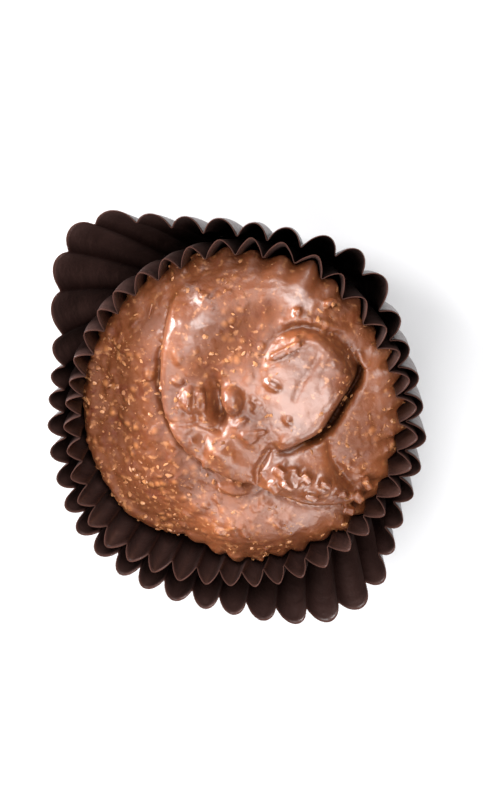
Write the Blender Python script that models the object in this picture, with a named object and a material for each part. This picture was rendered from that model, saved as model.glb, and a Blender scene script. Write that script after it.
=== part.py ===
"""A nut cluster: milk chocolate full of chopped nuts, set in two nested paper cups.

Metres, +Z up. The origin is the middle of the outer cup's base, on the surface it stands on.
+Y is the side where the poured fold runs down into the chocolate without a crease.
"""

import math
import random
from collections import namedtuple

import bmesh
import bpy
from mathutils import Matrix, Vector

MM = 0.001

# Paper cups: two of the same kind, one inside the other.
FLUTES = 40
SIDES_PER_FLUTE = 4
BASE_RADIUS = 15.6 * MM
WALL_SLANT = 20.0 * MM
WALL_SHARES = (0.0, 0.3, 0.56, 0.78, 1.0)
SWELL_RISE = 1.6  # above 1 the wall swells most in its upper half
PAPER = 0.15 * MM
PAPER_ACROSS_PLEAT = 0.24 * MM
GAP = 0.3 * MM
FLUTE_AT_BASE = 0.25 * MM
FLUTE_AT_RIM = 0.95 * MM
CREASE_ROUNDING = 0.02

# A cup's rim is an oval with corners pushed outwards or inwards, measured to the tips of the
# flutes: rim, oval and corners, each with its direction in degrees, how far it reaches out and
# half its width in degrees. The wall swells between base and rim, less where a corner is pushed
# out, by the straightened share of the push. Lobes is 1 for round lobes with narrow creases and
# 0 for even waves. Pressed is where the pleats lie flatter: direction, depth, half the width.
Cup = namedtuple("Cup", "base_radius rim oval corners swell straightened lobes pressed")
OUTER_CUP = Cup(
    base_radius=BASE_RADIUS,
    rim=21.3 * MM,
    oval=1.2 * MM,
    corners=(
        (0.0, 1.0 * MM, 35.0),
        (50.0, 2.2 * MM, 18.0),
        (129.0, 5.9 * MM, 20.0),
        (-60.0, 4.2 * MM, 20.0),
        (-143.0, 1.0 * MM, 24.0),
    ),
    swell=0.4 * MM,
    straightened=0.0,
    lobes=1.0,
    pressed=(0.0, 0.0, 75.0),
)
# The inner cup, which the chocolate swells and holds upright.
INNER_INSET = 0.6 * MM
INNER_CUP = Cup(
    base_radius=BASE_RADIUS - INNER_INSET,
    rim=19.0 * MM,
    oval=0.0,
    corners=(
        (70.0, 2.3 * MM, 36.0),
        (0.0, 1.3 * MM, 35.0),
        (-136.0, 1.7 * MM, 20.0),
        (172.0, -0.8 * MM, 30.0),
    ),
    swell=0.8 * MM,
    straightened=0.5,
    lobes=0.2,
    pressed=(-150.0, 0.3 * MM, 75.0),
)

# Chocolate: a fluted body cast in the inner cup, with a domed top.
BODY_FLOOR = 2.0 * (PAPER + GAP)
BODY_FOOT_ROUNDING = 0.5 * MM
BODY_CAST_HEIGHT = 11.0 * MM
BODY_EDGE_HEIGHT = 15.2 * MM
BODY_EDGE_ROUNDING = 0.8 * MM
BODY_TOP_HEIGHT = 19.6 * MM
BODY_RISE = BODY_TOP_HEIGHT - BODY_EDGE_HEIGHT
BODY_RINGS = (
    # height, how far the chocolate draws in, flute depth, corners kept: one in so many
    (BODY_FLOOR, BODY_FOOT_ROUNDING, 0.15 * MM, 1),
    (BODY_FLOOR + BODY_FOOT_ROUNDING, 0.0, 0.25 * MM, 1),
    (6.0 * MM, 0.0, 0.42 * MM, 1),
    (BODY_CAST_HEIGHT, 0.0, 0.55 * MM, 1),
    (BODY_EDGE_HEIGHT - BODY_EDGE_ROUNDING, 0.0, 0.6 * MM, 1),
    (BODY_EDGE_HEIGHT + BODY_EDGE_ROUNDING, 0.35 * MM, 0.4 * MM, 1),
    (BODY_EDGE_HEIGHT + 0.38 * BODY_RISE, 1.2 * MM, 0.2 * MM, 1),
    (BODY_EDGE_HEIGHT + 0.64 * BODY_RISE, 3.2 * MM, 0.05 * MM, 2),
    (BODY_EDGE_HEIGHT + 0.85 * BODY_RISE, 6.2 * MM, 0.0, 2),
    (BODY_EDGE_HEIGHT + 0.97 * BODY_RISE, 10.8 * MM, 0.0, 4),
)
# A dent in the edge: direction, half width, depth.
BODY_DENT_DIRECTION = -112.0
BODY_DENT_WIDTH = 12.0
BODY_DENT = 1.2 * MM
# The side where the chocolate bridged the pleats instead of filling them: direction, half width,
# and the share of the flutes that is missing there.
BODY_SMOOTH_DIRECTION = -150.0
BODY_SMOOTH_WIDTH = 75.0
BODY_SMOOTH_SHARE = 0.6

# The pour on top, in layers. A layer has its height at a place, in mm, and how that rises per mm
# along x and y; the middle that its rings shrink towards; and its outline in mm: x, y and how far
# in its edge is rounded there.
Layer = namedtuple("Layer", "height place slope middle outline")
FOLD = Layer(
    height=2.2,
    place=(-4.0, 3.0),
    slope=(-0.09, -0.03),
    middle=(3.0, 1.0),
    outline=(
        (-5.3, 14.7, 3.5),
        (-6.5, 12.6, 1.6),
        (-7.1, 9.9, 1.0),
        (-7.5, 6.5, 0.8),
        (-7.6, 3.8, 0.7),
        (-7.0, 1.1, 0.6),
        (-5.7, -1.6, 0.6),
        (-4.0, -3.5, 0.6),
        (-1.9, -5.2, 0.6),
        (-0.2, -6.1, 0.5),
        (1.8, -6.5, 0.5),
        (3.5, -7.2, 0.5),
        (5.9, -8.4, 0.5),
        (8.2, -9.4, 0.5),
        (11.3, -9.6, 0.5),
        (13.3, -9.2, 0.8),
        (12.3, -7.0, 0.8),
        (11.1, -5.0, 0.9),
        (10.6, -3.0, 1.2),
        (10.6, -0.6, 1.2),
        (12.0, 1.8, 1.2),
        (13.7, 4.5, 1.2),
        (13.0, 7.2, 1.4),
        (11.8, 9.6, 2.0),
        (12.7, 12.0, 2.5),
        (10.3, 15.7, 3.0),
        (5.2, 17.9, 3.5),
        (0.1, 17.7, 4.5),
        (-3.3, 16.7, 4.0),
    ),
)
TONGUE = Layer(
    height=2.0,
    place=(8.7, 4.0),
    slope=(0.22, 0.03),
    middle=(8.6, 4.4),
    outline=(
        (3.7, 6.7, 3.0),
        (4.6, 9.2, 1.2),
        (7.1, 10.7, 0.7),
        (9.8, 10.3, 0.8),
        (11.8, 9.0, 0.9),
        (13.2, 7.0, 1.1),
        (13.5, 5.0, 1.1),
        (11.8, 2.0, 0.8),
        (10.1, -0.7, 0.8),
        (7.8, -1.9, 0.8),
        (5.8, -2.6, 0.7),
        (4.7, -1.4, 1.2),
        (3.4, 1.3, 2.6),
        (2.7, 4.3, 3.4),
    ),
)
LAYER_POINTS_PER_STOP = 2
LAYER_FOOT = 1.6  # how deep the layers reach into what they lie on, in mm
LAYER_DIP = 0.3  # how deep their upper side starts in it, in mm
LAYER_EDGE_SHARES = (0.0, 0.08, 0.3, 0.6, 1.0)
LAYER_INNER_SHARES = (0.25, 0.5, 0.75)
# Edges rounded in by less than the first stand up sharply, by more than the second run out softly.
SHARP_EDGE = 1.0
SOFT_EDGE = 3.0
# The pour keeps this far, in mm, from the edge of the body.
LAYER_MARGIN = 1.2
# Where the whole pour bulges: x, y, two half widths and the height, in mm.
SWELLING = (3.0, 4.0, 7.0, 6.0, 0.8)

# Rounded knobs on the pour: x, y, the three half sizes, all in mm, and the turn in degrees.
KNOBS = (
    (0.5, 3.0, 1.25, 1.65, 1.3, 10.0),
    (-3.6, 2.6, 1.5, 2.0, 1.0, 0.0),
    (-0.5, -3.2, 1.9, 1.7, 0.6, 0.0),
    (5.9, -5.5, 2.1, 1.6, 1.0, -20.0),
    (9.4, -6.9, 2.3, 1.5, 0.9, -25.0),
    (13.9, 6.8, 0.7, 1.3, 0.6, 15.0),
    (0.2, -7.7, 1.8, 0.75, 0.5, -3.0),
)
KNOB_DIVISIONS = 2
# Slivers of nut that lie on the pour: both ends, x and y, then width and height, in mm.
SLIVERS = (
    ((5.0, 8.2), (8.0, 9.8), 0.85, 0.5),
    ((4.4, 5.8), (5.6, 5.1), 0.9, 0.4),
    ((1.7, -0.5), (4.2, -0.1), 0.55, 0.4),
)

# Chopped nuts that stand out of the chocolate.
NUT_COUNT = 46
NUT_LENGTH = (1.1 * MM, 2.4 * MM)
NUT_PROPORTIONS = (1.0, 0.6, 0.5)
NUT_REACH = 15.2 * MM
NUT_LEAST_LEVEL = 0.5  # they lie only where the surface faces at least this much upwards
NUT_SEED = 7
ABOVE_ALL = 40.0 * MM

CHOCOLATE_COLOUR = (0.33, 0.14, 0.07, 1.0)
CHOCOLATE_ROUGHNESS = 0.35
CHOCOLATE_SMOOTH_ANGLE = 40.0
PAPER_COLOUR = (0.032, 0.014, 0.012, 1.0)
PAPER_ROUGHNESS = 0.7
PAPER_SMOOTH_ANGLE = 25.0


def flute_wave(cup, direction):
    """Height of the pleats in a direction: +1 on a lobe, -1 in a crease."""
    turns = direction / 360.0 * FLUTES
    swing = math.sqrt(math.cos(math.pi * turns) ** 2 + CREASE_ROUNDING)
    most = math.sqrt(1.0 + CREASE_ROUNDING)
    least = math.sqrt(CREASE_ROUNDING)
    lobed = 2.0 * (swing - least) / (most - least) - 1.0
    return mix(math.cos(math.tau * turns), lobed, cup.lobes)


def bulge(direction, centre, half_width):
    """1 in the centre direction, falling away on both sides. All in degrees."""
    off = (direction - centre + 180.0) % 360.0 - 180.0
    return math.exp(-((off / half_width) ** 2))


def mix(low, high, share):
    return low + (high - low) * share


def flute_directions():
    sides = FLUTES * SIDES_PER_FLUTE
    return [360.0 * side / sides for side in range(sides)]


def pushed_out(cup, direction):
    """How far the corners push a cup's rim outwards."""
    return sum(reach * bulge(direction, centre, width) for centre, reach, width in cup.corners)


def rim_tip(cup, direction):
    oval = cup.oval * math.cos(2.0 * math.radians(direction))
    return cup.rim - oval + pushed_out(cup, direction)


def wall_rise(cup, direction):
    """Height of the rim. The paper is equally long all round, so a rim that leans out lies lower."""
    lean = rim_tip(cup, direction) - FLUTE_AT_RIM - cup.base_radius
    return math.sqrt(WALL_SLANT**2 - lean**2)


def fullness(share):
    """How much of a wall's swelling is reached at a share of the way from its base to its rim."""
    return math.sin(math.pi * share**SWELL_RISE)


def wall_middle(cup, direction, share):
    """Radius of the pleats' middle line."""
    rim_radius = rim_tip(cup, direction) - FLUTE_AT_RIM
    swell = cup.swell - cup.straightened * pushed_out(cup, direction)
    return mix(cup.base_radius, rim_radius, share) + swell * fullness(share)


def wall_flute(cup, direction, share):
    """Half the depth of the pleats."""
    centre, depth, width = cup.pressed
    pressed = depth * bulge(direction, centre, width) * fullness(share)
    return mix(FLUTE_AT_BASE, FLUTE_AT_RIM, share) - pressed


def at(direction, radius, height):
    angle = math.radians(direction)
    return Vector((radius * math.cos(angle), radius * math.sin(angle), height))


def new_object(name, builder, smooth_angle):
    """An object of the finished faces, its normals outwards, shaded smooth up to an angle."""
    bmesh.ops.recalc_face_normals(builder, faces=builder.faces)
    bmesh.ops.triangulate(builder, faces=builder.faces)
    mesh = bpy.data.meshes.new(name)
    builder.to_mesh(mesh)
    builder.free()
    mesh.shade_smooth()
    mesh.set_sharp_from_angle(angle=math.radians(smooth_angle))
    made = bpy.data.objects.new(name, mesh)
    bpy.context.scene.collection.objects.link(made)
    return made


def coat(thing, colour, roughness):
    material = bpy.data.materials.new(thing.name)
    material.use_nodes = True
    shader = material.node_tree.nodes["Principled BSDF"]
    shader.inputs["Base Color"].default_value = colour
    shader.inputs["Roughness"].default_value = roughness
    thing.data.materials.append(material)


def bridge(builder, lower, upper):
    """Faces between two rings of corners. The upper ring may have half as many as the lower."""
    step = len(lower) // len(upper)
    count = len(upper)
    for index in range(count):
        following = (index + 1) % count
        start = lower[index * step]
        end = lower[following * step]
        if step == 1:
            builder.faces.new((start, end, upper[following], upper[index]))
            continue
        middle = lower[index * step + 1]
        builder.faces.new((start, middle, upper[index]))
        builder.faces.new((middle, end, upper[following], upper[index]))


def close(builder, ring, centre, facing_up):
    """A fan of triangles from a ring of corners to one point."""
    tip = builder.verts.new(centre)
    for index, corner in enumerate(ring):
        following = ring[(index + 1) % len(ring)]
        if facing_up:
            builder.faces.new((corner, following, tip))
        else:
            builder.faces.new((following, corner, tip))


def make_cup(name, base_height, cup):
    """A thin pleated cup: outer face up to the rim, over the edge and down the inner face."""
    builder = bmesh.new()
    directions = flute_directions()

    def ring(share, inside):
        corners = []
        for direction in directions:
            radius = wall_middle(cup, direction, share)
            radius += wall_flute(cup, direction, share) * flute_wave(cup, direction)
            height = wall_rise(cup, direction) * share
            if inside:
                radius -= PAPER_ACROSS_PLEAT
                height = max(height, PAPER)
            corners.append(builder.verts.new(at(direction, radius, base_height + height)))
        return corners

    outside = [ring(share, False) for share in WALL_SHARES]
    inside = [ring(share, True) for share in WALL_SHARES]
    for lower, upper in zip(outside, outside[1:]):
        bridge(builder, lower, upper)
    for lower, upper in zip(inside, inside[1:]):
        bridge(builder, upper, lower)
    bridge(builder, outside[-1], inside[-1])
    close(builder, outside[0], (0.0, 0.0, base_height), False)
    close(builder, inside[0], (0.0, 0.0, base_height + PAPER), True)
    cup_object = new_object(name, builder, PAPER_SMOOTH_ANGLE)
    coat(cup_object, PAPER_COLOUR, PAPER_ROUGHNESS)


def body_reach(direction, height, drawn_in, flute):
    """How far the chocolate reaches inside the inner cup, in metres."""
    share = (height - PAPER - GAP) / wall_rise(INNER_CUP, direction)
    pocket = wall_middle(INNER_CUP, direction, share) - PAPER_ACROSS_PLEAT
    crease = pocket - wall_flute(INNER_CUP, direction, share)
    smooth = BODY_SMOOTH_SHARE * bulge(direction, BODY_SMOOTH_DIRECTION, BODY_SMOOTH_WIDTH)
    wave = 1.0 + flute_wave(INNER_CUP, direction)
    shoulder = (height - BODY_CAST_HEIGHT) / (BODY_EDGE_HEIGHT - BODY_CAST_HEIGHT)
    shoulder = min(1.0, max(0.0, shoulder))
    dent = shoulder * BODY_DENT * bulge(direction, BODY_DENT_DIRECTION, BODY_DENT_WIDTH)
    return crease - GAP - drawn_in + flute * (1.0 - smooth) * wave - dent


def make_body():
    """The part of the chocolate that was cast in the inner cup, with its domed top."""
    builder = bmesh.new()
    previous = None
    for height, drawn_in, flute, every in BODY_RINGS:
        corners = []
        for direction in flute_directions()[::every]:
            corner = at(direction, body_reach(direction, height, drawn_in, flute), height)
            corners.append(builder.verts.new(corner))
        if previous is None:
            close(builder, corners, (0.0, 0.0, height), False)
        else:
            bridge(builder, previous, corners)
        previous = corners
    close(builder, previous, (0.0, 0.0, BODY_TOP_HEIGHT), True)
    return new_object("cluster", builder, CHOCOLATE_SMOOTH_ANGLE)


def smooth_path(stops, stations):
    """Evenly spaced readings along a smooth curve through the stops."""
    readings = []
    for station in range(stations):
        place = station / (stations - 1) * (len(stops) - 1)
        index = min(int(place), len(stops) - 2)
        share = place - index
        before = stops[max(index - 1, 0)]
        start = stops[index]
        end = stops[index + 1]
        after = stops[min(index + 2, len(stops) - 1)]
        readings.append(
            tuple(
                0.5
                * (
                    2.0 * b
                    + (c - a) * share
                    + (2.0 * a - 5.0 * b + 4.0 * c - d) * share**2
                    + (3.0 * b - a - 3.0 * c + d) * share**3
                )
                for a, b, c, d in zip(before, start, end, after)
            )
        )
    return readings


def edge_inset(x, y):
    """How far a place lies in from the edge of the body, and how far the edge is. In mm."""
    direction = math.degrees(math.atan2(y, x))
    edge = body_reach(direction, BODY_EDGE_HEIGHT, 0.0, 0.0) / MM
    return edge - math.hypot(x, y), edge


def dome_height(x, y):
    """Height of the body's plain dome. In mm."""
    inset, edge = edge_inset(x, y)
    slope = [(0.0, BODY_EDGE_HEIGHT / MM)]
    for height, drawn_in, _, _ in BODY_RINGS:
        if height > BODY_EDGE_HEIGHT:
            slope.append((drawn_in / MM, height / MM))
    slope.append((edge, BODY_TOP_HEIGHT / MM))
    for (low, start), (high, end) in zip(slope, slope[1:]):
        if inset <= high:
            return mix(start, end, max(0.0, inset - low) / (high - low))
    return BODY_TOP_HEIGHT / MM


def swelling(x, y):
    centre_x, centre_y, half_x, half_y, height = SWELLING
    return height * math.exp(-(((x - centre_x) / half_x) ** 2) - ((y - centre_y) / half_y) ** 2)


def level(layer, x, y):
    """How far a layer raises the pour, away from its edges. In mm."""
    across = (x - layer.place[0]) * layer.slope[0]
    return layer.height + across + (y - layer.place[1]) * layer.slope[1]


def edge_rise(share, width):
    """The share of its height that a layer has, at a share of the way in over its edge."""
    rounded = math.sqrt(1.0 - (1.0 - share) ** 2)
    eased = share**2 * (3.0 - 2.0 * share)
    softness = min(1.0, max(0.0, (width - SHARP_EDGE) / (SOFT_EDGE - SHARP_EDGE)))
    return mix(rounded, eased, softness)


def make_layer(name, layer, beneath):
    """A layer of the pour on the dome and on the layers beneath, with a rounded edge."""
    builder = bmesh.new()
    middle = Vector(layer.middle)
    outline = smooth_path(layer.outline + layer.outline[:1], LAYER_POINTS_PER_STOP * len(layer.outline) + 1)
    edge = []
    for x, y, width in outline[:-1]:
        inset, reach = edge_inset(x, y)
        kept = min(1.0, (reach - LAYER_MARGIN) / (reach - inset))
        edge.append((Vector((x, y)) * kept, width))

    def spot(place, rise, sunk):
        ground = dome_height(*place) + swelling(*place)
        ground += sum(level(each, *place) for each in beneath)
        height = ground + mix(-LAYER_DIP, level(layer, *place), rise) - sunk
        return Vector((*place, height)) * MM

    rings = [[builder.verts.new(spot(place, 0.0, LAYER_FOOT)) for place, _ in edge]]
    for share in LAYER_EDGE_SHARES:
        ring = []
        for place, width in edge:
            inward = (middle - place).normalized() * (width * share)
            ring.append(builder.verts.new(spot(place + inward, edge_rise(share, width), 0.0)))
        rings.append(ring)
    for share in LAYER_INNER_SHARES:
        ring = []
        for place, width in edge:
            start = place + (middle - place).normalized() * width
            ring.append(builder.verts.new(spot(start.lerp(middle, share), 1.0, 0.0)))
        rings.append(ring)
    for lower, upper in zip(rings, rings[1:]):
        bridge(builder, lower, upper)
    close(builder, rings[0], spot(middle, 0.0, LAYER_FOOT), False)
    close(builder, rings[-1], spot(middle, 1.0, 0.0), True)
    return new_object(name, builder, CHOCOLATE_SMOOTH_ANGLE)


def find_top(body, x, y):
    """The highest point of the body at a place given in mm."""
    above = Vector((x * MM, y * MM, ABOVE_ALL))
    return body.ray_cast(above, Vector((0.0, 0.0, -1.0)))[1]


def make_knob(body, x, y, half_x, half_y, half_z, turn):
    builder = bmesh.new()
    bmesh.ops.create_icosphere(builder, subdivisions=KNOB_DIVISIONS, radius=MM)
    size = Matrix.Diagonal((half_x, half_y, half_z, 1.0))
    turned = Matrix.Rotation(math.radians(turn), 4, "Z")
    place = Matrix.Translation(find_top(body, x, y))
    bmesh.ops.transform(builder, matrix=place @ turned @ size, verts=builder.verts)
    return new_object("knob", builder, CHOCOLATE_SMOOTH_ANGLE)


def make_sliver(body, start, end, width, height):
    """A blunt sliver of nut, half sunk in the pour."""
    first = find_top(body, *start)
    last = find_top(body, *end)
    along = last - first
    builder = bmesh.new()
    bmesh.ops.create_cube(builder, size=1.0)
    size = Matrix.Diagonal((along.length, width * MM, 2.0 * height * MM, 1.0))
    turned = along.to_track_quat("X", "Z").to_matrix().to_4x4()
    place = Matrix.Translation((first + last) * 0.5)
    bmesh.ops.transform(builder, matrix=place @ turned @ size, verts=builder.verts)
    return new_object("sliver", builder, CHOCOLATE_SMOOTH_ANGLE)


def fuse(body, pieces):
    """Joins overlapping solids to the body with one Boolean union."""
    joined = bpy.data.collections.new("joined")
    for piece in pieces:
        bpy.context.scene.collection.objects.unlink(piece)
        joined.objects.link(piece)
    union = body.modifiers.new("union", "BOOLEAN")
    union.operation = "UNION"
    union.operand_type = "COLLECTION"
    union.collection = joined
    union.solver = "EXACT"
    evaluated = body.evaluated_get(bpy.context.evaluated_depsgraph_get())
    fused = bpy.data.meshes.new_from_object(evaluated)
    body.modifiers.clear()
    body.data = fused
    for piece in pieces:
        bpy.data.objects.remove(piece)
    bpy.data.collections.remove(joined)


def strew_nuts(body):
    """Chopped nuts, half sunk in the top of the chocolate."""
    chance = random.Random(NUT_SEED)
    nuts = []
    while len(nuts) < NUT_COUNT:
        reach = NUT_REACH * math.sqrt(chance.random())
        direction = 360.0 * chance.random()
        above = at(direction, reach, ABOVE_ALL)
        hit, point, normal, _ = body.ray_cast(above, Vector((0.0, 0.0, -1.0)))
        length = mix(*NUT_LENGTH, chance.random() ** 2)
        turn = Matrix.Rotation(chance.random() * math.tau, 4, "Z")
        if not hit or normal.z < NUT_LEAST_LEVEL:
            continue
        builder = bmesh.new()
        bmesh.ops.create_icosphere(builder, subdivisions=1, radius=length * 0.5)
        size = Matrix.Diagonal((*NUT_PROPORTIONS, 1.0))
        stand = normal.to_track_quat("Z", "Y").to_matrix().to_4x4()
        place = Matrix.Translation(point)
        bmesh.ops.transform(builder, matrix=place @ stand @ turn @ size, verts=builder.verts)
        nuts.append(new_object("nut", builder, CHOCOLATE_SMOOTH_ANGLE))
    return nuts


def build():
    for thing in list(bpy.data.objects):
        bpy.data.objects.remove(thing)
    make_cup("cup_outer", 0.0, OUTER_CUP)
    make_cup("cup_inner", PAPER + GAP, INNER_CUP)
    cluster = make_body()
    fuse(cluster, [make_layer("fold", FOLD, ()), make_layer("tongue", TONGUE, (FOLD,))])
    toppings = [make_knob(cluster, *knob) for knob in KNOBS]
    toppings += [make_sliver(cluster, *sliver) for sliver in SLIVERS]
    fuse(cluster, toppings + strew_nuts(cluster))
    coat(cluster, CHOCOLATE_COLOUR, CHOCOLATE_ROUGHNESS)


build()
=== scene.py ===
"""A milk chocolate nut cluster in its two pleated paper cups, on a pale studio floor."""

import math

import bmesh
import bpy
import numpy as np
from mathutils import Matrix, Vector
from mathutils.bvhtree import BVHTree


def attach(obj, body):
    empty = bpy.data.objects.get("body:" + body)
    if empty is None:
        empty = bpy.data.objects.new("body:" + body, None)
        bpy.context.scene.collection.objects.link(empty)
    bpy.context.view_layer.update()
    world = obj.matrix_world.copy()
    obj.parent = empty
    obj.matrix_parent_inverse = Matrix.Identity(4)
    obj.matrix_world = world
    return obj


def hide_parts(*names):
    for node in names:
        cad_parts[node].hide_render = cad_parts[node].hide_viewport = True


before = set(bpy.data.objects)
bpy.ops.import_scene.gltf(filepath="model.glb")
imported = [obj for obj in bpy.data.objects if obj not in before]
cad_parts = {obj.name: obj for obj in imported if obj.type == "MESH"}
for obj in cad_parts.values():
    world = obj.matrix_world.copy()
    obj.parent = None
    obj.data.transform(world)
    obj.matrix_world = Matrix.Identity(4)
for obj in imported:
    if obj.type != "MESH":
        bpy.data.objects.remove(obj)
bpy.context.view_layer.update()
MM = 0.001


# ---------------------------------------------------------------------------------------------
# The two paper cups
# A candy cup is a disc of thin dark-brown glassine, pressed in a fluted die so that its wall
# stands up in forty pleats. Two are nested and nothing is glued: the chocolate holds the inner
# one upright, and the outer one has sprung out into corners.

CUP_FLUTES = 40
CUP_SIDES_PER_FLUTE = 16
CUP_ROWS = 34
CUP_BASE_ROWS_SHARE = 0.18
CUP_WALL_SLANT = 20.0 * MM
# The power that moves the wall's swell up towards its rim, and how round a narrow crease is.
CUP_SWELL_RISE = 1.6
CUP_CREASE_ROUNDING = 0.02
# How far the pleats pinch in sideways, and how pointed the even waves are.
CUP_PINCH = 0.07
CUP_ZIGZAG = 0.06
CUP_FLUTE_AT_BASE = 0.25 * MM
CUP_FLUTE_AT_RIM = 0.95 * MM
CUP_PAPER = 0.09 * MM
# The pleats stand closest in the first direction, by so many of them.
CUP_BUNCHED = -120.0
CUP_BUNCHING = 0.4
CUP_CORNERS = 5
# Chance unevenness: the noise's scale on a circle of radius 1, and its strength. The pleats'
# width, in pleats, and the wall wander slowly. Depth and height change from pleat to pleat.
CUP_WIDTH_SCALE = 2.6
CUP_WIDTH_STRAY = 0.2
CUP_WALL_SCALE = 3.1
CUP_WALL_STRAY = 0.22 * MM
CUP_PLEAT_SCALE = CUP_FLUTES / math.tau * 0.9
CUP_DEPTH_STRAY = 0.22
CUP_HEIGHT_STRAY = 0.012
# The power by which the pleats fade out from the base's edge to its middle.
CUP_BASE_FLATNESS = 8.0
CUP_WELD = 0.004 * MM

PAPER_DARK = (0.026, 0.010, 0.008, 1.0)
PAPER_LIGHT = (0.056, 0.025, 0.020, 1.0)
# Painted shade in the creases between the pleats, where little light gets.
PAPER_CREASE_SHADE = (0.008, 0.003, 0.0025, 1.0)
# Painted highlight along the cut rim, whose gloss is taken off.
PAPER_RIM_HIGHLIGHT = (0.18, 0.09, 0.07, 1.0)


class Field:
    """A value in a node tree. Arithmetic on fields adds the Math nodes that work it out."""

    def __init__(self, tree, socket):
        self.tree = tree
        self.socket = socket

    def math(self, operation, *others):
        node = self.tree.nodes.new("ShaderNodeMath")
        node.operation = operation
        for place, value in zip(node.inputs, (self, *others)):
            if isinstance(value, Field):
                self.tree.links.new(value.socket, place)
            else:
                place.default_value = value
        return Field(self.tree, node.outputs[0])

    def __add__(self, other):
        return self.math("ADD", other)

    def __sub__(self, other):
        return self.math("SUBTRACT", other)

    def __mul__(self, other):
        return self.math("MULTIPLY", other)

    def __truediv__(self, other):
        return self.math("DIVIDE", other)

    def __pow__(self, other):
        return self.math("POWER", other)

    def sin(self):
        return self.math("SINE")

    def cos(self):
        return self.math("COSINE")

    def sqrt(self):
        return self.math("SQRT")

    def bulge(self, centre, half_width):
        """1 at the centre direction, falling away on both sides. All in degrees."""
        off = (self - centre).math("WRAP", 180.0, -180.0) / half_width
        return (off * off * -1.0).math("EXPONENT")


def joined(tree, x, y, z):
    """One vector field from three fields or numbers."""
    node = tree.nodes.new("ShaderNodeCombineXYZ")
    for place, value in zip(node.inputs, (x, y, z)):
        if isinstance(value, Field):
            tree.links.new(value.socket, place)
        else:
            place.default_value = value
    return node.outputs[0]


def ripple(tree, vector, scale, detail=0.0):
    """Smooth noise between about -1 and 1."""
    node = tree.nodes.new("ShaderNodeTexNoise")
    tree.links.new(vector, node.inputs["Vector"])
    node.inputs["Scale"].default_value = scale
    node.inputs["Detail"].default_value = detail
    return (Field(tree, node.outputs[0]) - 0.5) * 2.0


def new_tree(name, **inputs):
    """An empty Geometry Nodes tree with named inputs, the tree's end, and its inputs as fields."""
    tree = bpy.data.node_groups.new(name, "GeometryNodeTree")
    tree.interface.new_socket("Geometry", in_out="INPUT", socket_type="NodeSocketGeometry")
    tree.interface.new_socket("Geometry", in_out="OUTPUT", socket_type="NodeSocketGeometry")
    start = tree.nodes.new("NodeGroupInput")
    end = tree.nodes.new("NodeGroupOutput")
    fields = {}
    for label, kind in inputs.items():
        tree.interface.new_socket(label, in_out="INPUT", socket_type="NodeSocket" + kind)
        fields[label] = Field(tree, start.outputs[label])
    return tree, start, end, fields


def chain(tree, geometry, kind, **settings):
    """Adds a node that takes geometry in and gives it out, and returns the node."""
    node = tree.nodes.new(kind)
    for label, value in settings.items():
        setattr(node, label, value)
    tree.links.new(geometry, node.inputs[0])
    return node


def grow(thing, tree, **values):
    """Runs a Geometry Nodes tree on an object and keeps the result as its plain mesh."""
    modifier = thing.modifiers.new(tree.name, "NODES")
    modifier.node_group = tree
    for socket in tree.interface.items_tree:
        if socket.in_out == "INPUT" and socket.name in values:
            modifier[socket.identifier] = values[socket.name]
    settle(thing)


def settle(thing):
    """Replaces an object's mesh by what its modifiers make of it, and removes them."""
    evaluated = thing.evaluated_get(bpy.context.evaluated_depsgraph_get())
    made = bpy.data.meshes.new_from_object(evaluated)
    made.name = thing.name
    thing.modifiers.clear()
    thing.data = made


def new_piece(name, mesh=None):
    piece = bpy.data.objects.new(name, mesh or bpy.data.meshes.new(name))
    bpy.context.scene.collection.objects.link(piece)
    return piece


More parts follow.
